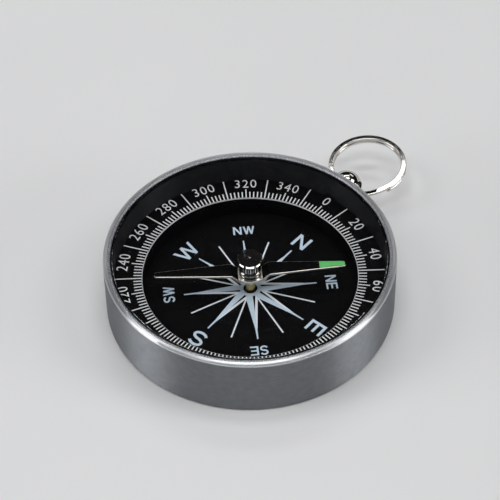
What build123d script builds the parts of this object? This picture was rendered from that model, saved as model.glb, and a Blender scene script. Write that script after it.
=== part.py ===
"""Pocket compass: an aluminium case with a glazed dial, a needle on a point, and a split ring on a stud.

Millimetres, +Z up. The origin is on the needle's axis, on the face that the compass lies on.
The stud stands at the dial's north, which is +Y.
"""
import os
from math import cos, hypot, radians, sin, sqrt, tan

from build123d import *

# Case
CASE_DIAMETER = 44.0
CASE_HEIGHT = 10.2
CASE_WALL = 1.45
CASE_FLOOR = 1.1
BASE_ROUND = 0.6
RIM_ROUND = 0.3
RIM_BEVEL = 0.1

# Crystal, which rests on a ledge at the top of the bore
CRYSTAL_THICKNESS = 1.0
CRYSTAL_BEVEL = 0.3
CRYSTAL_LEDGE = 0.35
RIM_LIP = 0.05

# Dial, slightly crowned inside the degree ring
DIAL_THICKNESS = 0.6
DIAL_CROWN = 0.3
DIAL_HOLE_MARGIN = 0.3

# Degree ring, a channel that is open below and stands on the dial
DEGREE_RING_WIDTH = 4.1
DEGREE_RING_HEIGHT = 3.4
DEGREE_RING_WALL = 0.9
DEGREE_RING_EDGE = 0.06

# Pivot
POST_RADIUS = 0.75
POST_SOCKET_DEPTH = 0.6
POST_SHOULDER_GAP = 0.25
POST_CHAMFER = 0.15
POINT_RADIUS = 0.3
POINT_SEAT_DEPTH = 1.0
POINT_HALF_ANGLE = 14.0

# Needle, whose middle is stepped down below its arms
NEEDLE_BEARING = 48.0
NEEDLE_TIP_GAP = 1.85
NEEDLE_THICKNESS = 0.3
NEEDLE_STEP = 1.0
NEEDLE_BEND_RADIUS = 0.35
NEEDLE_ROOT_WIDTH = 2.7
NEEDLE_TIP_WIDTH = 1.05
NEEDLE_TIP_ROUND = 0.45
NEEDLE_EDGE_ROUND = 0.12
HUB_MARGIN = 0.35
HUB_FLAT_MARGIN = 0.2

# Luminous marker on the north arm
MARKER_LENGTH = 4.0
MARKER_THICKNESS = 0.08
MARKER_MARGIN = 0.13

# Needle cap, riveted through the hub, with its bearing jewel
CAP_RADIUS = 1.65
CAP_HEIGHT = 3.58
CAP_HEAD_RADIUS = 1.9
CAP_HEAD_HEIGHT = 0.5
CAP_CHAMFER = 0.15
CAP_TOP_WALL = 0.6
CAP_DIMPLE_RADIUS = 0.16
CAP_GROOVE_HEIGHTS = (0.45, 1.42)
CAP_GROOVE_SIZE = 0.18
CAP_SPIGOT_RADIUS = 1.3
CAP_RIVET_FLARE = 0.3
CAP_RIVET_THICKNESS = 0.2
CAP_BORE_RADIUS = 0.95
JEWEL_THICKNESS = 0.75
JEWEL_CUP_DEPTH = 0.45
JEWEL_CUP_HALF_ANGLE = 38.0

# Pendant stud, a ball on a shank
STUD_HEIGHT = 4.9
STUD_SHANK_RADIUS = 1.0
STUD_NECK_LENGTH = 0.45
STUD_EYE_WALL = 0.84

# Split ring, two flat coils that a ramp joins
SPLIT_RING_DIAMETER = 12.4
WIRE_WIDTH = 0.85
WIRE_THICKNESS = 0.5
WIRE_ROUND = 0.15
COIL_GAP = 0.1
RAMP_ANGLE = 44.0
RAMP_CENTRE = -45.0
RAMP_SECTIONS = 7
RING_REST_TILT = 5.0
RING_DROP = 0.55

# Clearances
BORE_CLEARANCE = 0.1
PRESS_CLEARANCE = 0.01
PIVOT_CLEARANCE = 0.03
CAP_HEADROOM = 0.3
EYE_CLEARANCE = 0.85

# Radii and heights that follow from the sizes above
case_radius = CASE_DIAMETER / 2
bore_radius = case_radius - CASE_WALL
seat_radius = bore_radius + CRYSTAL_LEDGE
inset_radius = bore_radius - BORE_CLEARANCE
degree_ring_inner_radius = inset_radius - DEGREE_RING_WIDTH

crystal_base_z = CASE_HEIGHT - RIM_LIP - CRYSTAL_THICKNESS
dial_top_z = CASE_FLOOR + DIAL_THICKNESS

cap_top_z = crystal_base_z - CAP_HEADROOM
hub_top_z = cap_top_z - CAP_HEIGHT
hub_base_z = hub_top_z - NEEDLE_THICKNESS
arm_top_z = hub_top_z + NEEDLE_STEP
jewel_top_z = cap_top_z - CAP_TOP_WALL
jewel_base_z = jewel_top_z - JEWEL_THICKNESS
point_tip_z = jewel_base_z + JEWEL_CUP_DEPTH - PIVOT_CLEARANCE
post_top_z = hub_base_z - CAP_RIVET_THICKNESS - POST_SHOULDER_GAP

needle_half_length = degree_ring_inner_radius - NEEDLE_TIP_GAP
hub_radius = CAP_RADIUS + HUB_MARGIN
hub_flat = CAP_RADIUS + HUB_FLAT_MARGIN
arm_start = hub_flat + NEEDLE_STEP

coil_stack = 2 * WIRE_THICKNESS + COIL_GAP
eye_radius = hypot(WIRE_WIDTH, coil_stack) / 2 + EYE_CLEARANCE
ball_radius = eye_radius + STUD_EYE_WALL
eye_y = case_radius + STUD_NECK_LENGTH + ball_radius


def save(piece, name):
    """Label the piece and write it as its own file."""
    piece.part.label = name
    export_step(piece.part, f"parts/{name}.step")


def bearing_direction(bearing):
    """The level direction of a compass bearing, clockwise from north."""
    return Vector(sin(radians(bearing)), cos(radians(bearing)), 0)


def arm_half_width(along):
    """Half the width of a needle arm at a distance from the needle's axis."""
    share = (along - arm_start) / (needle_half_length - arm_start)
    return (NEEDLE_ROOT_WIDTH + share * (NEEDLE_TIP_WIDTH - NEEDLE_ROOT_WIDTH)) / 2


os.makedirs("parts", exist_ok=True)

# Case: a cup with a stepped bore for the crystal, a socket for the post and a hole for the stud
with BuildPart() as case:
    Cylinder(case_radius, CASE_HEIGHT, align=(Align.CENTER, Align.CENTER, Align.MIN))
    fillet(case.edges().group_by(Axis.Z)[-1], RIM_ROUND)
    fillet(case.edges().group_by(Axis.Z)[0], BASE_ROUND)
    with Locations((0, 0, CASE_HEIGHT)):
        CounterBoreHole(
            radius=bore_radius,
            counter_bore_radius=seat_radius,
            counter_bore_depth=CASE_HEIGHT - crystal_base_z,
            depth=CASE_HEIGHT - CASE_FLOOR,
        )
    rim_edge = case.edges().filter_by(GeomType.CIRCLE).group_by(Axis.Z)[-1].sort_by(SortBy.RADIUS)[0]
    chamfer(rim_edge, RIM_BEVEL)
    with Locations((0, 0, CASE_FLOOR)):
        Hole(POST_RADIUS + PRESS_CLEARANCE, depth=POST_SOCKET_DEPTH)
    with BuildSketch(Plane.XZ.offset(-case_radius)):
        with Locations((0, STUD_HEIGHT)):
            Circle(STUD_SHANK_RADIUS + PRESS_CLEARANCE)
    extrude(amount=2 * CASE_WALL, mode=Mode.SUBTRACT)
save(case, "case")

# Crystal: a flat round window with a bevelled top edge
with BuildPart() as crystal:
    with BuildSketch(Plane.XY.offset(crystal_base_z)):
        Circle(seat_radius - PRESS_CLEARANCE)
    extrude(amount=CRYSTAL_THICKNESS)
    chamfer(crystal.edges().group_by(Axis.Z)[-1], CRYSTAL_BEVEL)
save(crystal, "crystal")

# Dial: a thin crowned disc on the case floor, with a hole round the post
dial_hole_radius = POST_RADIUS + DIAL_HOLE_MARGIN


def dial_top(radius):
    """A point of the dial's crowned top, in the side view."""
    return (radius, dial_top_z + DIAL_CROWN * (1 - (radius / degree_ring_inner_radius) ** 2))


with BuildPart() as dial:
    with BuildSketch(Plane.XZ):
        with BuildLine():
            ThreePointArc(
                dial_top(dial_hole_radius),
                dial_top((dial_hole_radius + degree_ring_inner_radius) / 2),
                dial_top(degree_ring_inner_radius),
            )
            Polyline(
                dial_top(degree_ring_inner_radius),
                (inset_radius, dial_top_z),
                (inset_radius, CASE_FLOOR),
                (dial_hole_radius, CASE_FLOOR),
                dial_top(dial_hole_radius),
            )
        make_face()
    revolve(axis=Axis.Z)
save(dial, "dial")

# Degree ring: a moulded channel whose two skirts stand on the dial
with BuildPart() as degree_ring:
    with BuildSketch(Plane.XY.offset(dial_top_z)):
        Circle(inset_radius)
        Circle(degree_ring_inner_radius, mode=Mode.SUBTRACT)
    extrude(amount=DEGREE_RING_HEIGHT)
    chamfer(degree_ring.edges().group_by(Axis.Z)[-1], DEGREE_RING_EDGE)
    with BuildSketch(Plane.XY.offset(dial_top_z)):
        Circle(inset_radius - DEGREE_RING_WALL)
        Circle(degree_ring_inner_radius + DEGREE_RING_WALL, mode=Mode.SUBTRACT)
    extrude(amount=DEGREE_RING_HEIGHT - DEGREE_RING_WALL, mode=Mode.SUBTRACT)
save(degree_ring, "degree_ring")

# Pivot post: a brass rod pressed into the floor, drilled at the top for the point
with BuildPart() as pivot_post:
    with BuildSketch(Plane.XY.offset(CASE_FLOOR - POST_SOCKET_DEPTH)):
        Circle(POST_RADIUS)
    extrude(amount=post_top_z - CASE_FLOOR + POST_SOCKET_DEPTH)
    chamfer(pivot_post.edges().group_by(Axis.Z)[-1], POST_CHAMFER)
    with Locations((0, 0, post_top_z)):
        Hole(POINT_RADIUS + PRESS_CLEARANCE, depth=POINT_SEAT_DEPTH)
save(pivot_post, "pivot_post")

# Pivot point: a steel pin ground to a cone
with BuildPart() as pivot_point:
    with BuildSketch(Plane.XZ):
        with BuildLine():
            Polyline(
                (0, post_top_z - POINT_SEAT_DEPTH),
                (POINT_RADIUS, post_top_z - POINT_SEAT_DEPTH),
                (POINT_RADIUS, point_tip_z - POINT_RADIUS / tan(radians(POINT_HALF_ANGLE))),
                (0, point_tip_z),
                close=True,
            )
        make_face()
    revolve(axis=Axis.Z)
save(pivot_point, "pivot_point")

# Needle planes: the plan has its x axis along the north arm, the side view looks across the blade
needle_north = bearing_direction(NEEDLE_BEARING)
needle_plan = Plane(origin=(0, 0, 0), x_dir=needle_north, z_dir=(0, 0, 1))
needle_side = Plane(origin=(0, 0, 0), x_dir=needle_north, z_dir=-needle_plan.y_dir)
arm_middle_z = arm_top_z - NEEDLE_THICKNESS / 2
hub_middle_z = hub_top_z - NEEDLE_THICKNESS / 2


def arm_corners(start, margin):
    """Corners of the north arm from a distance along it to the tip, smaller all round by a margin."""
    root = arm_half_width(start) - margin
    end = arm_half_width(needle_half_length) - margin
    tip = needle_half_length - margin
    return [(start, -root), (tip, -end), (tip, end), (start, root)]


def upper_edges(blade):
    """Edges where the blade's upper side meets its cut sides."""
    upper = blade.faces().filter_by(lambda face: face.normal_at().Z > 0.5).edges()
    cut = blade.faces().filter_by(lambda face: abs(face.normal_at().Z) < 0.01).edges()
    return [edge for edge in upper if any(edge.is_same(other) for other in cut)]


# Needle blade: the plan outline cut out of a strip that is bent down and up again at the hub, a round disc
with BuildPart() as needle_blade:
    with BuildSketch(needle_plan) as blade_plan:
        with BuildLine():
            Polyline(*arm_corners(0, 0), close=True)
        make_face()
        mirror(about=Plane.YZ)
        for end in (0, -1):
            fillet(blade_plan.vertices().group_by(Axis.X)[end], NEEDLE_TIP_ROUND)
    extrude(amount=arm_top_z + NEEDLE_STEP)
    with BuildSketch(needle_side):
        with BuildLine():
            FilletPolyline(
                (-2 * needle_half_length, arm_middle_z),
                (-arm_start, arm_middle_z),
                (-hub_flat, hub_middle_z),
                (hub_flat, hub_middle_z),
                (arm_start, arm_middle_z),
                (2 * needle_half_length, arm_middle_z),
                radius=NEEDLE_BEND_RADIUS,
            )
        trace(line_width=NEEDLE_THICKNESS)
    extrude(amount=2 * hub_radius, both=True, mode=Mode.INTERSECT)
    fillet(upper_edges(needle_blade), NEEDLE_EDGE_ROUND)
    with BuildSketch(Plane.XY.offset(hub_base_z)):
        Circle(hub_radius)
    extrude(amount=NEEDLE_THICKNESS)
    with Locations((0, 0, hub_top_z)):
        Hole(CAP_SPIGOT_RADIUS + PRESS_CLEARANCE, depth=2 * NEEDLE_THICKNESS)
save(needle_blade, "needle_blade")

# North marker: a luminous film on the end of the north arm
with BuildPart() as north_marker:
    with BuildSketch(Plane(origin=(0, 0, arm_top_z), x_dir=needle_north, z_dir=(0, 0, 1))) as marker_plan:
        with BuildLine():
            Polyline(*arm_corners(needle_half_length - MARKER_LENGTH, MARKER_MARGIN), close=True)
        make_face()
        fillet(marker_plan.vertices().group_by(Axis.X)[-1], NEEDLE_TIP_ROUND - MARKER_MARGIN)
    extrude(amount=MARKER_THICKNESS)
save(north_marker, "north_marker")

# Needle cap: a turned barrel with a head and two grooves, a spigot through the hub and a rivet flare
rivet_base_z = hub_base_z - CAP_RIVET_THICKNESS
with BuildPart() as needle_cap:
    with BuildSketch(Plane.XZ):
        with BuildLine():
            Polyline(
                (0, rivet_base_z),
                (CAP_SPIGOT_RADIUS, rivet_base_z),
                (CAP_SPIGOT_RADIUS + CAP_RIVET_FLARE, hub_base_z),
                (CAP_SPIGOT_RADIUS, hub_base_z),
                (CAP_SPIGOT_RADIUS, hub_top_z),
                (CAP_RADIUS, hub_top_z),
                (CAP_RADIUS, cap_top_z - CAP_HEAD_HEIGHT),
                (CAP_HEAD_RADIUS, cap_top_z - CAP_HEAD_HEIGHT),
                (CAP_HEAD_RADIUS, cap_top_z - CAP_CHAMFER),
                (CAP_HEAD_RADIUS - CAP_CHAMFER, cap_top_z),
                (CAP_DIMPLE_RADIUS, cap_top_z),
                (0, cap_top_z - CAP_DIMPLE_RADIUS),
                close=True,
            )
        make_face()
    revolve(axis=Axis.Z)
    with BuildSketch(Plane.XZ):
        for groove_height in CAP_GROOVE_HEIGHTS:
            with Locations((CAP_RADIUS, hub_top_z + groove_height)):
                Rectangle(CAP_GROOVE_SIZE, CAP_GROOVE_SIZE, rotation=45)
    revolve(axis=Axis.Z, mode=Mode.SUBTRACT)
    with BuildSketch(Plane.XY.offset(rivet_base_z)):
        Circle(CAP_BORE_RADIUS)
    extrude(amount=jewel_top_z - rivet_base_z, mode=Mode.SUBTRACT)
save(needle_cap, "needle_cap")

# Cap jewel: a disc at the end of the cap's bore, with the cup that runs on the point
with BuildPart() as cap_jewel:
    with BuildSketch(Plane.XZ):
        with BuildLine():
            Polyline(
                (0, jewel_base_z + JEWEL_CUP_DEPTH),
                (JEWEL_CUP_DEPTH * tan(radians(JEWEL_CUP_HALF_ANGLE)), jewel_base_z),
                (CAP_BORE_RADIUS - PRESS_CLEARANCE, jewel_base_z),
                (CAP_BORE_RADIUS - PRESS_CLEARANCE, jewel_top_z),
                (0, jewel_top_z),
                close=True,
            )
        make_face()
    revolve(axis=Axis.Z)
save(cap_jewel, "cap_jewel")

# Pendant stud: a shank through the case wall and a ball with a cross hole for the ring
shank_end_y = eye_y - sqrt(ball_radius**2 - STUD_SHANK_RADIUS**2)
with BuildPart() as pendant_stud:
    with BuildSketch(Plane.XY.offset(STUD_HEIGHT)):
        with BuildLine():
            Polyline(
                (0, eye_y + ball_radius),
                (0, bore_radius + BORE_CLEARANCE),
                (STUD_SHANK_RADIUS, bore_radius + BORE_CLEARANCE),
                (STUD_SHANK_RADIUS, shank_end_y),
            )
            ThreePointArc((STUD_SHANK_RADIUS, shank_end_y), (ball_radius, eye_y), (0, eye_y + ball_radius))
        make_face()
    revolve(axis=Axis((0, 0, STUD_HEIGHT), (0, 1, 0)))
    with BuildSketch(Plane.YZ):
        with Locations((eye_y, STUD_HEIGHT)):
            Circle(eye_radius)
    extrude(amount=2 * ball_radius, both=True, mode=Mode.SUBTRACT)
save(pendant_stud, "pendant_stud")

# Split ring: its wire rests low in the eye, with an allowance for the wire's curve through the stud's ball
wire_radius = (SPLIT_RING_DIAMETER - WIRE_WIDTH) / 2
eye_half_length = sqrt(ball_radius**2 - eye_radius**2)
wire_sag = wire_radius - sqrt(wire_radius**2 - eye_half_length**2)
ring_reach = wire_radius - wire_sag / 2
ring_normal = Vector(0, -sin(radians(RING_REST_TILT)), cos(radians(RING_REST_TILT)))
eye_plane = Plane(origin=(0, eye_y, STUD_HEIGHT - RING_DROP), x_dir=(1, 0, 0), z_dir=ring_normal)
ring_centre = eye_plane.from_local_coords((0, ring_reach, 0))
ring_plane = Plane(origin=ring_centre, x_dir=(1, 0, 0), z_dir=ring_normal)
ring_axis = Axis(ring_plane.origin, ring_plane.z_dir)
coil_height = (WIRE_THICKNESS + COIL_GAP) / 2
flat_arc = 360.0 - RAMP_ANGLE


def wire_plane(angle, height):
    """The plane of the wire's section at an angle round the ring and a height above its middle."""
    outward = ring_plane.x_dir * cos(radians(angle)) + ring_plane.y_dir * sin(radians(angle))
    centre = ring_plane.origin + outward * wire_radius + ring_plane.z_dir * height
    return Plane(origin=centre, x_dir=outward, z_dir=outward.cross(ring_plane.z_dir))


ramp_start = RAMP_CENTRE - RAMP_ANGLE / 2
ramp_end = RAMP_CENTRE + RAMP_ANGLE / 2
with BuildPart() as split_ring:
    for height in (-coil_height, coil_height):
        with BuildSketch(wire_plane(ramp_end, height)):
            RectangleRounded(WIRE_WIDTH, WIRE_THICKNESS, WIRE_ROUND)
        revolve(axis=ring_axis, revolution_arc=flat_arc)
    for section in range(RAMP_SECTIONS):
        share = section / (RAMP_SECTIONS - 1)
        climb = share * share * (3 - 2 * share)
        with BuildSketch(wire_plane(ramp_start + share * RAMP_ANGLE, (2 * climb - 1) * coil_height)):
            RectangleRounded(WIRE_WIDTH, WIRE_THICKNESS, WIRE_ROUND)
    loft()
save(split_ring, "split_ring")
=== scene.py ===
"""Looks of the pocket compass: finishes for its solids, its printing and a plain studio."""

import math

import bmesh
import bpy
from mathutils import Matrix, Vector
from mathutils.bvhtree import BVHTree


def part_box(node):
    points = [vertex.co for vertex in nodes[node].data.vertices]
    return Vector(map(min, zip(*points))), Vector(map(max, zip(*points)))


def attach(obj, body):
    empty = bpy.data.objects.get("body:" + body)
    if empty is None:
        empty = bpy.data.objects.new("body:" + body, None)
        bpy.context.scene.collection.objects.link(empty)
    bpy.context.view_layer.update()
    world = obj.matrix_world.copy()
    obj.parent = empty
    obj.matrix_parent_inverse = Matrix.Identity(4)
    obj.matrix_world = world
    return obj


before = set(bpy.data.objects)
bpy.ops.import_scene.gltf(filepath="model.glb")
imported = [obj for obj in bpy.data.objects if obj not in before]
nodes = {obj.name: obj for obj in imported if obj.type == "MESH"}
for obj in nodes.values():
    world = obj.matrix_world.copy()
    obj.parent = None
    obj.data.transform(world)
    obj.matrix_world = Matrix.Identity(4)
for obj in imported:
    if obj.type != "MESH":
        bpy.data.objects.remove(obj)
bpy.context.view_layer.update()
MM = 0.001

# Camera, at the photograph's angle
CAMERA_AZIMUTH = 38.653
CAMERA_ELEVATION = 46.505
CAMERA_ROLL = -1.087
CAMERA_DISTANCE = 303.617 * MM
CAMERA_AIM = Vector((0, 0, 10.08 * MM))
CAMERA_SHIFT_RIGHT = 0.035 * MM
CAMERA_SHIFT_UP = 0.567 * MM
CAMERA_LENS = 146.16
CAMERA_CLIP = 10 * MM

# Printing on the degree ring, with its steps in degrees
RING_PRINT_INNER = 16.43 * MM
MINOR_TICK_END = 17.65 * MM
MEDIUM_TICK_END = 18.2 * MM
LONG_TICK_END = 20.4 * MM
TICK_STEP = 2
TICK_WIDTH = 0.18 * MM
EDGE_LINE_DEPTH = 0.22 * MM
NUMBER_STEP = 20
NUMBER_BASE = 18.6 * MM
NUMBER_HEIGHT = 1.72 * MM
NUMBER_NARROWING = 0.88
NUMBER_SPACING = 1.15
NUMBER_THINNING = 0.005
NUMBER_CURVE_STEPS = 6

# Letters on the dial: the bearing of each, and widths and strokes as shares of the height
LETTER_BEARINGS = {
    "N": 1.4,
    "NE": 46.1,
    "E": 91.3,
    "SE": 136.0,
    "S": 180.6,
    "SW": 227.4,
    "W": 270.9,
    "NW": 317.3,
}
CARDINAL_CENTRE = 12.6 * MM
CARDINAL_HEIGHT = 2.74 * MM
CARDINAL_WIDTHS = {"N": 0.86, "E": 0.82, "S": 0.87, "W": 1.32}
DIAGONAL_CENTRE = 12.43 * MM
DIAGONAL_HEIGHT = 1.72 * MM
DIAGONAL_WIDTHS = {"N": 0.78, "E": 0.72, "S": 0.70, "W": 1.04}
LETTER_GAP = 0.13
LETTER_STEM = 0.168
LETTER_BAR = 0.152
LETTER_SLANT = 1.1
LETTER_W_STROKE = 0.155
LETTER_MIDDLE_BAR = 0.93
LETTER_OVERSHOOT = 0.015
S_START = 18
S_END = 270
S_STEPS = 16

# Rose on the dial: its points, the dark sliver along each, and the thin rays between them
DIAL_HOLE_RADIUS = 1.05 * MM
ROSE_HOLE_MARGIN = 0.02 * MM
ROSE_HUB_RADIUS = 1.65 * MM
ROSE_HUB_OVERLAP = 0.95
ROSE_POINTS = 8
ROSE_OFFSET = 0.9
ROSE_TIP = 10.17 * MM
ROSE_TIP_WIDTH = 0.2 * MM
ROSE_POINT_END = 9.66 * MM
ROSE_POINT_SLOPE = 0.1167
ROSE_STATIONS = 6.6 * MM, 8.2 * MM
ROSE_RAY_WIDTH = 0.24 * MM
ROSE_RAY_PIECES = 5
SLIVER_INNER_SIDE = -0.17 * MM
SLIVER_OUTER_SIDE = -0.56 * MM
SLIVER_MIDDLE = 0.6
SLIVER_TIP = 5.05 * MM
SLIVER_TIP_SIDE = -0.14 * MM

# Ink as a mesh
INK_THICKNESS = 0.02 * MM
INK_SINK = 0.004 * MM
INK_WELD = 0.0002 * MM
INK_DROP_HEIGHT = 1 * MM
RING_STEP = 5

# Colours of the finishes; a pair is mixed by a noise, from dark to light
# The wall's colours are painted shade: its aluminium is made much darker than the rim's, to stand in
# for the wall's dark reflection
PAINTED_SHADE_WALL_COLOURS = (0.19, 0.20, 0.215), (0.27, 0.28, 0.295)
PIT_COLOURS = (0.22, 0.23, 0.25), (0.60, 0.615, 0.64)
LAND_COLOUR = (0.66, 0.675, 0.70)
# Painted shade: the bore inside the case is coloured near black where the case is in shade
PAINTED_BORE_SHADE_COLOURS = (0.009, 0.0095, 0.011), (0.028, 0.030, 0.033)
NICKEL_COLOURS = (0.62, 0.60, 0.57), (0.74, 0.72, 0.69)
# Painted shade on the stud's end inside the case, matching the bore's painted shade
STUD_END_SHADE_COLOUR = (0.020, 0.021, 0.023)
CAP_COLOURS = (0.80, 0.77, 0.72), (0.90, 0.87, 0.82)
PAINT_COLOURS = (0.0012, 0.0012, 0.0015), (0.003, 0.003, 0.0034)
STEEL_COLOURS = (0.80, 0.77, 0.71), (0.93, 0.90, 0.84)
DIAL_COLOURS = (0.0012, 0.0012, 0.0015), (0.0022, 0.0022, 0.0027)
RING_COLOURS = (0.0015, 0.0015, 0.0018), (0.003, 0.003, 0.0035)
BRASS_COLOURS = (0.50, 0.36, 0.14), (0.68, 0.52, 0.24)
POINT_COLOURS = (0.46, 0.46, 0.47), (0.62, 0.62, 0.63)
GREEN_COLOURS = (0.07, 0.44, 0.10), (0.12, 0.54, 0.15)
CRYSTAL_COLOUR = (1.0, 1.0, 1.0)
JEWEL_COLOUR = (0.75, 0.12, 0.18)
# Painted shade: the crystal's edge ring is coloured near black for the dark bore seen through it
PAINTED_EDGE_SHADE_COLOURS = (0.0005, 0.0005, 0.0006)
WHITE_INK_COLOURS = (0.78, 0.80, 0.82), (0.90, 0.92, 0.93)
BLUE_INK_COLOURS = (0.56, 0.70, 0.83), (0.66, 0.79, 0.91)
PALE_INK_COLOURS = (0.76, 0.82, 0.88), (0.87, 0.92, 0.96)
FLOOR_COLOURS = (0.74, 0.745, 0.75), (0.77, 0.775, 0.78)

# Where a finish changes, as the radii or heights at which the change starts and ends, and the
# drops and depths of its relief, all in millimetres
RIM_HEIGHTS = 9.7, 9.95
LIP_HEIGHTS = 10.06, 10.09
SEAT_RADII = 20.90, 20.93
LAND_RADII = 21.3, 21.45
CROWN_OUTER_RADII = 21.26, 22.01
CROWN_OUTER_DROP = 0.30
CROWN_INNER_RADII = 20.98, 21.13
CROWN_INNER_DROP = 0.06
WALL_GRAIN_DEPTH = 0.005
SPECKLE_DEPTH = 0.03
STUD_END_RADII = 21.0, 21.1
CAP_HEAD_HEIGHTS = 8.35, 8.70
CAP_HEAD_DROP = 0.56
CAP_RING_HEIGHTS = 6.7, 6.9
CAP_RING_PITCH = 0.56
CAP_RING_DEPTH = 0.07
HUB_RADII = 2.1, 2.15
HUB_HEIGHTS = 5.29, 5.32
HUB_DISH_RADII = 1.6, 2.2
HUB_DISH_DROP = 0.6
NEEDLE_GRAIN_DEPTH = 0.0015
CRYSTAL_EDGE_RADII = 20.62, 20.65
JEWEL_EDGE_RADII = 1.0, 1.03  # beyond the jewel's own radius, so that all of it is polished
FLOOR_FAR_RADII = 150, 1100

# Roughness of the finishes, as the range that a noise gives, and what is added to it or taken off
WALL_ROUGHNESS = 0.46, 0.54
NICKEL_ROUGHNESS = 0.03, 0.06
CAP_ROUGHNESS = 0.03, 0.05
DIAL_ROUGHNESS = 0.54, 0.66
RING_ROUGHNESS = 0.49, 0.61
INK_ROUGHNESS = 0.4, 0.6
PAINT_ROUGHNESS = 0.5, 0.6
BRASS_ROUGHNESS = 0.2, 0.35
POINT_ROUGHNESS = 0.15, 0.3
GREEN_ROUGHNESS = 0.35, 0.5
CRYSTAL_ROUGHNESS = 0.0, 0.012
JEWEL_ROUGHNESS = 0.02, 0.06
RIM_POLISH = 0.14
SPECKLE_DULLING = 0.4
STUD_END_DULLING = 0.45
BARE_STEEL_POLISH = 0.25
GROUND_EDGE_DULLING = 0.22

# Other values of the finishes
WALL_GRAIN_SHARE = 0.6
PLATE_WEAR = {"scale": 2.5, "detail": 5.0, "roughness": 0.65}
CRYSTAL_IOR = 1.49
JEWEL_IOR = 1.76
FLOOR_FAR_GLOW = 0.84

# The range of a noise, or of how far a face turns towards a side, over which a finish changes
NOISE_RANGE = 0.3, 0.7
METAL_RANGE = 0.35, 0.65
PLATE_RANGE = 0.35, 0.7
SPECKLE_RANGE = 0.42, 0.62
SMEAR_RANGE = 0.4, 0.7
LONG_EDGE_RANGE = 0.2, 0.3
UPRIGHT_RANGE = 0.4, 0.5

# The bearing of the needle at rest
NEEDLE_BEARING = 48

# Studio, in metres, degrees and watts
FLOOR_RINGS = 0.001, 0.3, 1.6
FLOOR_SIDES = 96
SWEEP_RADIUS = 0.8
SWEEP_TURN = 50
SWEEP_STEPS = 12
WORLD_STRENGTH = 0.008

# Softboxes: turn to the right of the camera, elevation, distance, width, height and power
SOFTBOXES = {
    "top_front_light": (0, 73, 0.9, 0.6, 0.34, 2.67),
    "top_back_light": (180, 77.5, 0.9, 0.6, 0.17, 1.33),
    "rim_light": (180, 55, 0.9, 0.5, 0.12, 0.8),
    "left_light": (-73, 14, 0.7, 0.35, 0.3, 1.5),
    "right_light": (73, 14, 0.7, 0.35, 0.3, 1.3),
    "left_high_light": (-88, 48, 0.8, 0.3, 0.3, 0.9),
    "right_high_light": (88, 48, 0.8, 0.3, 0.3, 0.9),
    "left_back_light": (-146, 34, 0.8, 0.3, 0.15, 0.16),
    "right_back_light": (146, 34, 0.8, 0.3, 0.15, 0.16),
}


def direction(bearing):
    """Unit vector on the dial at a compass bearing in degrees."""
    a = math.radians(bearing)
    return Vector((math.sin(a), math.cos(a)))


def rightwards(bearing):
    """Unit vector to the right of someone who looks outwards along the bearing."""
    a = math.radians(bearing)
    return Vector((math.cos(a), -math.sin(a)))


# Meshes


def band(n):
    """Faces between two rows of n points, which are listed one row after the other."""
    return [[i, n + i, n + i + 1, i + 1] for i in range(n - 1)]


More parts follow.
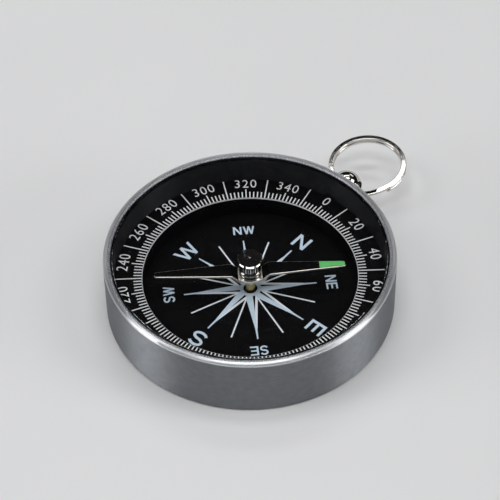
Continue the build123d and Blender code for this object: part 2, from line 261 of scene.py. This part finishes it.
class Print:
    """Thin ink shapes on top of a CAD node, gathered into one mesh."""

    def __init__(self, node):
        mesh = nodes[node].data
        corners = [v.co.copy() for v in mesh.vertices]
        self.surface = BVHTree.FromPolygons(corners, [p.vertices for p in mesh.polygons])
        self.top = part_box(node)[1].z
        self.verts = []
        self.faces = []

    def height(self, x, y):
        """Height of the node's surface below a point."""
        start = Vector((x, y, self.top + INK_DROP_HEIGHT))
        hit = self.surface.ray_cast(start, Vector((0, 0, -1)))[0]
        return hit.z if hit else self.top

    def add(self, outline, faces):
        """A flat shape of 2-D points and faces, given thickness and laid on the surface."""
        first = len(self.verts)
        count = len(outline)
        heights = [self.height(p[0], p[1]) for p in outline]
        self.verts += [(p[0], p[1], z + INK_THICKNESS) for p, z in zip(outline, heights)]
        self.verts += [(p[0], p[1], z - INK_SINK) for p, z in zip(outline, heights)]
        sides = [pair for face in faces for pair in zip(face, face[1:] + face[:1])]
        shared = set(sides)
        for face in faces:
            self.faces.append([first + i for i in face])
            self.faces.append([first + count + i for i in reversed(face)])
        for a, b in sides:
            if (b, a) not in shared:
                self.faces.append([first + b, first + a, first + count + a, first + count + b])

    def strip(self, left, right):
        """A band between two rows of points, the left row and the right row running the same way."""
        self.add(left + right, band(len(left)))

    def ring(self, inner, outer):
        """A closed band between two circles."""
        turns = [direction(b) for b in range(0, 360, RING_STEP)]
        n = len(turns)
        faces = [[i, n + i, n + (i + 1) % n, (i + 1) % n] for i in range(n)]
        self.add([d * outer for d in turns] + [d * inner for d in turns], faces)

    def bar(self, bearing, start, end, width, pieces=1):
        """A straight bar along a bearing."""
        out, side = direction(bearing), rightwards(bearing) * (width / 2)
        along = [start + (end - start) * i / pieces for i in range(pieces + 1)]
        self.strip([out * r - side for r in along], [out * r + side for r in along])

    def edge_line(self, depth):
        """A line round the node's inner wall, from its upper edge down."""
        turns = [direction(b) for b in range(0, 360, TICK_STEP)]
        levels = [self.top - INK_SINK, self.top - depth / 2, self.top - depth]
        rows = []
        for z in levels:
            for lift in (INK_THICKNESS, -INK_SINK):
                row = []
                for d in turns:
                    wall = self.surface.ray_cast(Vector((0, 0, z)), d.to_3d())[0].to_2d().length
                    row.append(len(self.verts))
                    self.verts.append((d.x * (wall - lift), d.y * (wall - lift), z))
                rows.append(row)
        front, back = rows[0::2], rows[1::2]
        loop = front + back[::-1]
        n = len(turns)
        for upper, lower in zip(loop, loop[1:] + loop[:1]):
            for i in range(n):
                k = (i + 1) % n
                self.faces.append([lower[i], lower[k], upper[k], upper[i]])

    def number(self, value, bearing, base, height):
        """A number that stands upright on a circle of radius base, top outwards."""
        points, faces = glyphs(str(value))
        out, side = direction(bearing), rightwards(bearing)
        self.add([out * (base + p.y * height) + side * (p.x * height) for p in points], faces)

    def word(self, name, widths, bearing, centre, height):
        """Bold capitals that stand upright with their middle on a circle of radius centre."""
        out, side = direction(bearing), rightwards(bearing)
        start = -(sum(widths[c] for c in name) + LETTER_GAP * (len(name) - 1)) / 2
        for c in name:
            points, faces = LETTERS[c](widths[c])
            placed = []
            for x, y in points:
                placed.append(out * (centre + (y - 0.5) * height) + side * ((start + x) * height))
            self.add(placed, faces)
            start += widths[c] + LETTER_GAP

    def piece(self, name, material):
        """The shapes as one object that moves with the case."""
        mesh = bpy.data.meshes.new(name)
        mesh.from_pydata(self.verts, [], self.faces)
        shape = bmesh.new()
        shape.from_mesh(mesh)
        bmesh.ops.remove_doubles(shape, verts=shape.verts, dist=INK_WELD)
        bmesh.ops.dissolve_degenerate(shape, edges=shape.edges, dist=INK_WELD)
        shape.to_mesh(mesh)
        shape.free()
        mesh.validate()
        mesh.update()
        mesh.materials.append(material)
        obj = bpy.data.objects.new(name, mesh)
        bpy.context.scene.collection.objects.link(obj)
        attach(obj, "case_body")


def glyphs(digits):
    """Flat outlines of some digits, centred, with a digit's height as the unit."""
    curve = bpy.data.curves.new("digits", "FONT")
    curve.body = digits
    curve.space_character = NUMBER_SPACING
    curve.offset = -NUMBER_THINNING
    curve.resolution_u = NUMBER_CURVE_STEPS
    holder = bpy.data.objects.new("digits", curve)
    mesh = bpy.data.meshes.new_from_object(holder)
    points = [v.co.to_2d() for v in mesh.vertices]
    faces = [list(p.vertices) for p in mesh.polygons]
    bpy.data.objects.remove(holder)
    bpy.data.curves.remove(curve)
    bpy.data.meshes.remove(mesh)
    low = min(p.y for p in points)
    tall = max(p.y for p in points) - low
    middle = (min(p.x for p in points) + max(p.x for p in points)) / 2
    placed = []
    for p in points:
        placed.append(Vector(((p.x - middle) * NUMBER_NARROWING / tall, (p.y - low) / tall)))
    return placed, faces


# Bold capitals, with their height as the unit: points and faces for a given width


def letter_n(width):
    stem = LETTER_STEM
    foot = stem * LETTER_SLANT
    cut = stem / (width - foot)
    points = [(0, 0), (stem, 0), (stem, 1 - cut), (width - foot, 0), (width, 0)]
    points += [(width, 1), (width - stem, 1), (width - stem, cut), (foot, 1), (0, 1)]
    return points, [list(range(len(points)))]


def letter_e(width):
    stem, bar, middle = LETTER_STEM, LETTER_BAR, width * LETTER_MIDDLE_BAR
    low, high = (1 - bar) / 2, (1 + bar) / 2
    points = [(0, 0), (width, 0), (width, bar), (stem, bar), (stem, low), (middle, low)]
    points += [(middle, high), (stem, high), (stem, 1 - bar), (width, 1 - bar), (width, 1), (0, 1)]
    return points, [list(range(len(points)))]


def letter_w(width):
    stroke = LETTER_W_STROKE
    half, middle = stroke / 2, width / 2
    foot = (middle + half) / 2
    notch = 2 * stroke / (width - stroke)
    side = stroke + (foot - half) * (1 - notch)
    peak = (middle - foot - half) / (middle - foot)
    points = [(foot - half, 0), (foot + half, 0), (middle, peak)]
    points += [(width - foot - half, 0), (width - foot + half, 0), (width, 1), (width - stroke, 1)]
    points += [(width - side, notch), (middle + half, 1), (middle - half, 1)]
    points += [(side, notch), (stroke, 1), (0, 1)]
    return points, [list(range(len(points)))]


def letter_s(width):
    stroke = (LETTER_STEM + LETTER_BAR) / 2
    across = (width - stroke) / 2
    tall = (0.5 + LETTER_OVERSHOOT - stroke / 2) / 2
    upper = []
    for i in range(S_STEPS + 1):
        a = math.radians(S_START + (S_END - S_START) * i / S_STEPS)
        upper.append(Vector((width / 2 + across * math.cos(a), 0.5 + tall + tall * math.sin(a))))
    line = upper + [Vector((width - p.x, 1 - p.y)) for p in reversed(upper[:-1])]
    left, right = [], []
    for i, p in enumerate(line):
        along = (line[min(i + 1, len(line) - 1)] - line[max(i - 1, 0)]).normalized()
        side = Vector((-along.y, along.x)) * (stroke / 2)
        left.append(p + side)
        right.append(p - side)
    return left + right, band(len(line))


LETTERS = {"N": letter_n, "E": letter_e, "S": letter_s, "W": letter_w}


# Shader nodes


def shader(name):
    """A node material and its Principled node."""
    material = bpy.data.materials.new(name)
    material.use_nodes = True
    tree = material.node_tree
    return material, tree, tree.nodes["Principled BSDF"]


def put(tree, kind, inputs=None, **settings):
    """Adds a node. Each input is a plain value or the socket that feeds it."""
    node = tree.nodes.new(kind)
    for key, value in settings.items():
        setattr(node, key, value)
    for key, value in (inputs or {}).items():
        feed(tree, node.inputs[key], value)
    return node


def feed(tree, socket, value):
    """Links a socket to the one that feeds it, or sets its plain value."""
    if isinstance(value, bpy.types.NodeSocket):
        tree.links.new(value, socket)
    else:
        socket.default_value = value


def dress(bsdf, tree, **values):
    """Sets a Principled node's inputs, named with underscores for spaces."""
    for key, value in values.items():
        feed(tree, bsdf.inputs[key.replace("_", " ")], value)


def millimetres(tree):
    """The part's own coordinates, in millimetres."""
    place = put(tree, "ShaderNodeTexCoord").outputs["Object"]
    scaled = put(tree, "ShaderNodeVectorMath", {0: place}, operation="SCALE")
    scaled.inputs["Scale"].default_value = 1 / MM
    return scaled.outputs["Vector"]


def noise(tree, vector, scale, detail=3.0, roughness=0.6):
    """A noise with about scale grains to the millimetre."""
    made = put(tree, "ShaderNodeTexNoise", {"Vector": vector, "Scale": scale, "Detail": detail})
    made.inputs["Roughness"].default_value = roughness
    return made.outputs["Fac"]


def span(tree, value, low, high, start, end):
    """Maps start..end to low..high, held at both ends."""
    made = put(tree, "ShaderNodeMapRange", {"Value": value})
    for key, number in (("From Min", start), ("From Max", end), ("To Min", low), ("To Max", high)):
        made.inputs[key].default_value = number
    return made.outputs["Result"]


def rise(tree, value, start, end):
    """0 up to start, and 1 from end on."""
    return span(tree, value, 0.0, 1.0, start, end)


def fall(tree, value, start, end):
    """1 up to start, and 0 from end on."""
    return span(tree, value, 1.0, 0.0, start, end)


def tint(tree, value, dark, light):
    """A colour between dark and light, each an RGB triple or a socket."""
    made = put(tree, "ShaderNodeMix", {"Factor": value}, data_type="RGBA")
    for key, colour in (("A", dark), ("B", light)):
        feed(tree, made.inputs[key], (*colour, 1) if isinstance(colour, tuple) else colour)
    return made.outputs["Result"]


def relief(tree, height, depth, strength=1.0):
    """A bump of the given depth in metres."""
    made = put(tree, "ShaderNodeBump", {"Height": height, "Distance": depth, "Strength": strength})
    return made.outputs["Normal"]


def maths(tree, operation, a, b=0.0):
    return put(tree, "ShaderNodeMath", {0: a, 1: b}, operation=operation).outputs[0]


def plus(tree, a, b):
    return maths(tree, "ADD", a, b)


def minus(tree, a, b):
    return maths(tree, "SUBTRACT", a, b)


def times(tree, a, b):
    return maths(tree, "MULTIPLY", a, b)


def larger(tree, a, b):
    return maths(tree, "MAXIMUM", a, b)


def turned(tree, vector):
    """Coordinates whose noise runs round the axis as turning marks do, and the radius and height."""
    parts = put(tree, "ShaderNodeSeparateXYZ", {0: vector})
    x, y, z = (parts.outputs[i] for i in range(3))
    radius = maths(tree, "SQRT", plus(tree, times(tree, x, x), times(tree, y, y)))
    angle = maths(tree, "ARCTAN2", y, x)
    made = put(tree, "ShaderNodeCombineXYZ", {0: radius, 1: z, 2: angle})
    return made.outputs[0], radius, z


# Finishes


def aluminium():
    """Turned aluminium: a smooth wall painted darker than the rim as shade, a grained and speckled rim,
    and a bore painted near black as shade.
    """
    material, tree, bsdf = shader("case_aluminium_finish")
    place = millimetres(tree)
    rings, radius, z = turned(tree, place)
    grain = noise(tree, rings, scale=9.0, detail=4.0, roughness=0.7)
    mottle = noise(tree, place, scale=0.9, detail=4.0)
    mixed = plus(
        tree,
        times(tree, grain, WALL_GRAIN_SHARE),
        times(tree, mottle, 1 - WALL_GRAIN_SHARE),
    )
    speckle = rise(tree, noise(tree, place, scale=5.0, detail=2.0), *SPECKLE_RANGE)
    rim = rise(tree, z, *RIM_HEIGHTS)
    burnished = rise(tree, radius, *LAND_RADII)
    worn = times(tree, speckle, times(tree, rim, minus(tree, 1.0, burnished)))
    # Inside the seat and below the lip, the bore is painted near black as shade
    bore_shade = times(tree, fall(tree, radius, *SEAT_RADII), fall(tree, z, *LIP_HEIGHTS))

    # The wall is painted dark as shade, with a random grain in its tone
    wall = tint(tree, rise(tree, mixed, *METAL_RANGE), *PAINTED_SHADE_WALL_COLOURS)
    pits = tint(tree, speckle, *PIT_COLOURS)
    land = tint(tree, burnished, pits, LAND_COLOUR)
    shade = tint(tree, mottle, *PAINTED_BORE_SHADE_COLOURS)
    colour = tint(tree, bore_shade, tint(tree, rim, wall, land), shade)

    polish = times(tree, minus(tree, rim, times(tree, worn, SPECKLE_DULLING)), RIM_POLISH)
    rough = minus(tree, span(tree, mixed, *WALL_ROUGHNESS, *METAL_RANGE), polish)

    outer_slope = span(tree, radius, 0.0, -CROWN_OUTER_DROP, *CROWN_OUTER_RADII)
    inner_slope = span(tree, radius, -CROWN_INNER_DROP, 0.0, *CROWN_INNER_RADII)
    crown = times(tree, plus(tree, outer_slope, inner_slope), rim)
    fine = plus(tree, times(tree, grain, WALL_GRAIN_DEPTH), times(tree, worn, SPECKLE_DEPTH))
    bump = relief(tree, plus(tree, fine, crown), MM)

    around = put(tree, "ShaderNodeTangent", direction_type="RADIAL", axis="Z").outputs[0]
    dress(bsdf, tree, Base_Color=colour, Metallic=1.0, Roughness=rough, Normal=bump)
    dress(bsdf, tree, Tangent=around, Anisotropic=0.9, Anisotropic_Rotation=0.25)
    return material


def nickel():
    """Bright nickel plate with faint wear. The stud's end inside the case is painted near black as
    shade, like the bore, and made rough.
    """
    material, tree, bsdf = shader("nickel_finish")
    place = millimetres(tree)
    wear = noise(tree, place, **PLATE_WEAR)
    # Inside the case the stud's end is painted near black as shade
    stud_end_shade = fall(tree, turned(tree, place)[1], *STUD_END_RADII)
    plate = tint(tree, rise(tree, wear, *METAL_RANGE), *NICKEL_COLOURS)
    colour = tint(tree, stud_end_shade, plate, STUD_END_SHADE_COLOUR)
    polish = span(tree, wear, *NICKEL_ROUGHNESS, *PLATE_RANGE)
    rough = plus(tree, polish, times(tree, stud_end_shade, STUD_END_DULLING))
    bump = relief(tree, wear, depth=0.002 * MM, strength=0.2)
    dress(bsdf, tree, Base_Color=colour, Metallic=1.0, Roughness=rough, Normal=bump)
    return material


def cap_nickel():
    """Bright nickel turned with a sloped head and rounded rings."""
    material, tree, bsdf = shader("cap_finish")
    place = millimetres(tree)
    z = turned(tree, place)[2]
    wear = noise(tree, place, **PLATE_WEAR)
    colour = tint(tree, rise(tree, wear, *METAL_RANGE), *CAP_COLOURS)
    rough = span(tree, wear, *CAP_ROUGHNESS, *PLATE_RANGE)
    head = span(tree, z, 0.0, -CAP_HEAD_DROP, *CAP_HEAD_HEIGHTS)
    wave = maths(tree, "SINE", times(tree, z, 2 * math.pi / CAP_RING_PITCH))
    rings = times(tree, wave, span(tree, z, CAP_RING_DEPTH, 0.0, *CAP_RING_HEIGHTS))
    bump = relief(tree, plus(tree, head, rings), MM)
    dress(bsdf, tree, Base_Color=colour, Metallic=1.0, Roughness=rough, Normal=bump)
    return material


def black_finish(name, colours, roughness, grain_size):
    """Matt black with a fine grain, its size in millimetres."""
    material, tree, bsdf = shader(name)
    place = millimetres(tree)
    grain = noise(tree, place, scale=1 / grain_size)
    cloud = noise(tree, place, scale=0.35)
    colour = tint(tree, rise(tree, cloud, *NOISE_RANGE), *colours)
    rough = span(tree, grain, *roughness, *NOISE_RANGE)
    bump = relief(tree, grain, depth=0.01 * MM, strength=0.35)
    dress(bsdf, tree, Base_Color=colour, Roughness=rough, Normal=bump, Specular_IOR_Level=0.03)
    return material


def ink(name, colours):
    """Screen-printed ink, a little uneven."""
    material, tree, bsdf = shader(name)
    place = millimetres(tree)
    patch = noise(tree, place, scale=4.0)
    colour = tint(tree, rise(tree, patch, *NOISE_RANGE), *colours)
    rough = span(tree, patch, *INK_ROUGHNESS, *NOISE_RANGE)
    bump = relief(tree, noise(tree, place, scale=18.0), depth=0.004 * MM, strength=0.4)
    dress(bsdf, tree, Base_Color=colour, Roughness=rough, Normal=bump, Specular_IOR_Level=0.15)
    return material


def painted_needle():
    """Satin black paint on the faces, and bare bright steel on the long edges, the tips and the hub."""
    material, tree, bsdf = shader("needle_finish")
    place = millimetres(tree)
    radius, z = turned(tree, place)[1:]
    normal = put(tree, "ShaderNodeTexCoord").outputs["Normal"]
    facing = put(tree, "ShaderNodeSeparateXYZ", {0: normal})
    nx, ny, nz = (facing.outputs[i] for i in range(3))
    across = rightwards(NEEDLE_BEARING)
    sideways = plus(tree, times(tree, nx, across.x), times(tree, ny, across.y))
    long_edge = rise(tree, maths(tree, "ABSOLUTE", sideways), *LONG_EDGE_RANGE)
    upright = fall(tree, maths(tree, "ABSOLUTE", nz), *UPRIGHT_RANGE)
    hub = times(tree, fall(tree, radius, *HUB_RADII), fall(tree, z, *HUB_HEIGHTS))
    bare = larger(tree, larger(tree, long_edge, upright), hub)

    grain = noise(tree, place, scale=6.0, detail=4.0)
    uneven = rise(tree, grain, *NOISE_RANGE)
    paint = tint(tree, uneven, *PAINT_COLOURS)
    steel = tint(tree, uneven, *STEEL_COLOURS)
    colour = tint(tree, bare, paint, steel)
    satin = span(tree, grain, *PAINT_ROUGHNESS, *NOISE_RANGE)
    rough = minus(tree, satin, times(tree, bare, BARE_STEEL_POLISH))
    dished = times(tree, hub, span(tree, radius, 0.0, -HUB_DISH_DROP, *HUB_DISH_RADII))
    bump = relief(tree, plus(tree, times(tree, grain, NEEDLE_GRAIN_DEPTH), dished), MM)
    dress(bsdf, tree, Base_Color=colour, Metallic=bare, Roughness=rough, Normal=bump)
    dress(bsdf, tree, Specular_IOR_Level=0.02)
    return material


def metal(name, colours, roughness, grain_size):
    """A plain metal with a turned grain, its size in millimetres."""
    material, tree, bsdf = shader(name)
    rings = turned(tree, millimetres(tree))[0]
    grain = noise(tree, rings, scale=1 / grain_size, detail=4.0)
    colour = tint(tree, rise(tree, grain, *NOISE_RANGE), *colours)
    rough = span(tree, grain, *roughness, *NOISE_RANGE)
    bump = relief(tree, grain, depth=0.004 * MM, strength=0.4)
    dress(bsdf, tree, Base_Color=colour, Metallic=1.0, Roughness=rough, Normal=bump)
    return material


def luminous():
    """Luminous green film, slightly grainy."""
    material, tree, bsdf = shader("luminous_finish")
    grain = noise(tree, millimetres(tree), scale=5.0, detail=4.0)
    colour = tint(tree, rise(tree, grain, *NOISE_RANGE), *GREEN_COLOURS)
    rough = span(tree, grain, *GREEN_ROUGHNESS, *NOISE_RANGE)
    bump = relief(tree, grain, depth=0.008 * MM, strength=0.4)
    dress(bsdf, tree, Base_Color=colour, Roughness=rough, Normal=bump)
    return material


def glass(name, colour, ior, roughness, edge_radii):
    """Clear glass whose polish varies a little; beyond the edge's radii it is ground matt and painted
    near black as shade.
    """
    material, tree, bsdf = shader(name)
    place = millimetres(tree)
    smear = noise(tree, place, scale=0.25)
    edge = rise(tree, turned(tree, place)[1], *edge_radii)
    polish = span(tree, smear, *roughness, *SMEAR_RANGE)
    rough = plus(tree, polish, times(tree, edge, GROUND_EDGE_DULLING))
    # Beyond the edge's radii the colour is painted shade, near black
    dress(bsdf, tree, Base_Color=tint(tree, edge, colour, PAINTED_EDGE_SHADE_COLOURS), Roughness=rough)
    dress(bsdf, tree, Transmission_Weight=1.0, IOR=ior)
    return material


def pale_floor():
    """Pale paper whose far part, which the lamps hardly reach, looks as bright as the near part."""
    material, tree, bsdf = shader("floor_paper")
    place = millimetres(tree)
    cloud = noise(tree, place, scale=0.01, detail=2.0)
    colour = tint(tree, rise(tree, cloud, *NOISE_RANGE), *FLOOR_COLOURS)
    path = put(tree, "ShaderNodeLightPath").outputs
    mirrored = larger(tree, path["Is Glossy Ray"], path["Is Transmission Ray"])
    seen = larger(tree, path["Is Camera Ray"], mirrored)
    far = span(tree, turned(tree, place)[1], 0.0, FLOOR_FAR_GLOW, *FLOOR_FAR_RADII)
    dress(bsdf, tree, Base_Color=colour, Roughness=0.9, Specular_IOR_Level=0.2)
    dress(bsdf, tree, Emission_Color=colour, Emission_Strength=times(tree, seen, far))
    return material


def dress_solids():
    """Gives each CAD solid its finish."""
    bright = nickel()
    crystal_glass = glass(
        "crystal_finish", CRYSTAL_COLOUR, CRYSTAL_IOR, CRYSTAL_ROUGHNESS, CRYSTAL_EDGE_RADII
    )
    jewel_glass = glass("jewel_finish", JEWEL_COLOUR, JEWEL_IOR, JEWEL_ROUGHNESS, JEWEL_EDGE_RADII)
    finishes = {
        "case": aluminium(),
        "crystal": crystal_glass,
        "dial": black_finish("dial_finish", DIAL_COLOURS, DIAL_ROUGHNESS, grain_size=0.12),
        "degree_ring": black_finish("ring_finish", RING_COLOURS, RING_ROUGHNESS, grain_size=0.2),
        "pivot_post": metal("brass_finish", BRASS_COLOURS, BRASS_ROUGHNESS, grain_size=0.1),
        "pivot_point": metal("point_finish", POINT_COLOURS, POINT_ROUGHNESS, grain_size=0.05),
        "needle_blade": painted_needle(),
        "needle_cap": cap_nickel(),
        "cap_jewel": jewel_glass,
        "north_marker": luminous(),
        "pendant_stud": bright,
        "split_ring": bright,
    }
    for name, material in finishes.items():
        slots = nodes[name].data.materials
        slots.clear()
        slots.append(material)
    # Light reaches the dial straight through the crystal, and is counted once
    crystal = nodes["crystal"]
    crystal.visible_shadow = False
    crystal.visible_diffuse = False


# Printing


def print_degree_ring(white):
    """The ticks, the line at the ring's inner edge and the numbers."""
    ticks = Print("degree_ring")
    for bearing in range(0, 360, TICK_STEP):
        end = MINOR_TICK_END
        if bearing % NUMBER_STEP == 0:
            end = MEDIUM_TICK_END
        elif bearing % (NUMBER_STEP // 2) == 0:
            end = LONG_TICK_END
        ticks.bar(bearing, RING_PRINT_INNER, end, TICK_WIDTH)
    ticks.piece("degree_ticks", white)

    line = Print("degree_ring")
    line.edge_line(EDGE_LINE_DEPTH)
    line.piece("degree_line", white)

    numbers = Print("degree_ring")
    for bearing in range(0, 360, NUMBER_STEP):
        numbers.number(bearing, bearing, NUMBER_BASE, NUMBER_HEIGHT)
    numbers.piece("degree_numbers", white)


def print_letters(blue):
    """The large letters of the four main directions and the small ones between them."""
    letters = Print("dial")
    for name, bearing in LETTER_BEARINGS.items():
        if len(name) == 1:
            letters.word(name, CARDINAL_WIDTHS, bearing, CARDINAL_CENTRE, CARDINAL_HEIGHT)
        else:
            letters.word(name, DIAGONAL_WIDTHS, bearing, DIAGONAL_CENTRE, DIAGONAL_HEIGHT)
    letters.piece("dial_letters", blue)


def point_half_width(r):
    """Half the width of a rose point at a radius."""
    return max(ROSE_POINT_SLOPE * (ROSE_POINT_END - r), ROSE_TIP_WIDTH / 2)


def sliver_side(r, base, start):
    """Sideways place of a sliver's edge at a radius: start at the base, then straight to the tip."""
    share = (r - base) / (SLIVER_TIP - base)
    return start + (SLIVER_TIP_SIDE - start) * min(max(share, 0), 1)


def print_rose(blue, pale):
    """The rose, with its thin rays and the thin side of each point in a paler ink."""
    rose = Print("dial")
    thin = Print("dial")
    rose.ring(DIAL_HOLE_RADIUS + ROSE_HOLE_MARGIN, ROSE_HUB_RADIUS)
    turn = 360 / ROSE_POINTS
    spread = math.tan(math.radians(turn / 2))
    base = ROSE_HUB_RADIUS * ROSE_HUB_OVERLAP
    notch = ROSE_POINT_SLOPE * ROSE_POINT_END / (spread + ROSE_POINT_SLOPE)
    ray_start = math.hypot(notch, notch * spread)
    stations = [base, notch, SLIVER_TIP * SLIVER_MIDDLE, SLIVER_TIP, *ROSE_STATIONS, ROSE_TIP]
    short = stations[:-1]
    wide = [min(point_half_width(r), r * spread) for r in stations]
    inner = [sliver_side(r, base, SLIVER_INNER_SIDE) for r in stations]
    outer = [sliver_side(r, base, SLIVER_OUTER_SIDE) for r in stations]
    for index in range(ROSE_POINTS):
        bearing = index * turn + ROSE_OFFSET
        out, side = direction(bearing), rightwards(bearing)
        rose.strip(
            [out * r + side * max(s, -w) for r, s, w in zip(stations, inner, wide)],
            [out * r + side * w for r, w in zip(stations, wide)],
        )
        thin.strip(
            [out * r - side * w for r, w in zip(short, wide)],
            [out * r + side * max(s, -w) for r, s, w in zip(short, outer, wide)],
        )
        thin.bar(bearing + turn / 2, ray_start, ROSE_TIP, ROSE_RAY_WIDTH, ROSE_RAY_PIECES)
    rose.piece("dial_rose", blue)
    thin.piece("dial_rays", pale)


# Studio


def add_floor():
    """A pale floor that sweeps up into a low backdrop all round."""
    profile = [(r, 0.0) for r in FLOOR_RINGS]
    flat = FLOOR_RINGS[-1]
    for i in range(1, SWEEP_STEPS + 1):
        a = math.radians(SWEEP_TURN) * i / SWEEP_STEPS
        profile.append((flat + SWEEP_RADIUS * math.sin(a), SWEEP_RADIUS * (1 - math.cos(a))))
    verts, faces = [], []
    for r, z in profile:
        for k in range(FLOOR_SIDES):
            a = 2 * math.pi * k / FLOOR_SIDES
            verts.append((r * math.cos(a), r * math.sin(a), z))
    for i in range(len(profile) - 1):
        near, far = i * FLOOR_SIDES, (i + 1) * FLOOR_SIDES
        for k in range(FLOOR_SIDES):
            n = (k + 1) % FLOOR_SIDES
            faces.append((near + k, near + n, far + n, far + k))
    faces.append(tuple(range(FLOOR_SIDES)))
    mesh = bpy.data.meshes.new("studio_floor")
    mesh.from_pydata(verts, [], faces)
    mesh.shade_smooth()
    mesh.materials.append(pale_floor())
    floor = bpy.data.objects.new("studio_floor", mesh)
    bpy.context.scene.collection.objects.link(floor)


def studio_direction(turn, elevation):
    """A direction from the object; turn is to the right of the camera, in degrees."""
    a = math.radians(CAMERA_AZIMUTH + turn)
    e = math.radians(elevation)
    return Vector((math.cos(e) * math.sin(a), -math.cos(e) * math.cos(a), math.sin(e)))


def add_softbox(name, turn, elevation, distance, width, height, power):
    """A rectangular lamp that faces the object."""
    light = bpy.data.lights.new(name, "AREA")
    light.shape = "RECTANGLE"
    light.size = width
    light.size_y = height
    light.energy = power
    lamp = bpy.data.objects.new(name, light)
    way = studio_direction(turn, elevation)
    lamp.location = way * distance
    lamp.rotation_mode = "QUATERNION"
    lamp.rotation_quaternion = way.to_track_quat("Z", "Y")
    bpy.context.scene.collection.objects.link(lamp)


def add_studio():
    add_floor()
    for name, values in SOFTBOXES.items():
        add_softbox(name, *values)
    world = bpy.data.worlds.new("studio")
    world.use_nodes = True
    background = world.node_tree.nodes["Background"]
    background.inputs["Color"].default_value = (1, 1, 1, 1)
    background.inputs["Strength"].default_value = WORLD_STRENGTH
    bpy.context.scene.world = world
    bpy.context.scene.view_settings.view_transform = "Standard"


def add_camera():
    azimuth, roll = math.radians(CAMERA_AZIMUTH), math.radians(CAMERA_ROLL)
    back = studio_direction(0, CAMERA_ELEVATION)
    level = Vector((math.cos(azimuth), math.sin(azimuth), 0))
    upright = back.cross(level)
    right = level * math.cos(roll) + upright * math.sin(roll)
    up = upright * math.cos(roll) - level * math.sin(roll)
    place = CAMERA_AIM + back * CAMERA_DISTANCE + right * CAMERA_SHIFT_RIGHT + up * CAMERA_SHIFT_UP
    camera = bpy.data.objects.new("camera", bpy.data.cameras.new("camera"))
    camera.data.lens = CAMERA_LENS
    camera.data.clip_start = CAMERA_CLIP
    camera.matrix_world = Matrix.Translation(place) @ Matrix((right, up, back)).transposed().to_4x4()
    bpy.context.scene.collection.objects.link(camera)
    bpy.context.scene.camera = camera


dress_solids()
white_ink = ink("white_ink", WHITE_INK_COLOURS)
blue_ink = ink("pale_blue_ink", BLUE_INK_COLOURS)
pale_ink = ink("pale_ink", PALE_INK_COLOURS)
print_degree_ring(white_ink)
print_letters(blue_ink)
print_rose(blue_ink, pale_ink)
add_studio()
add_camera()
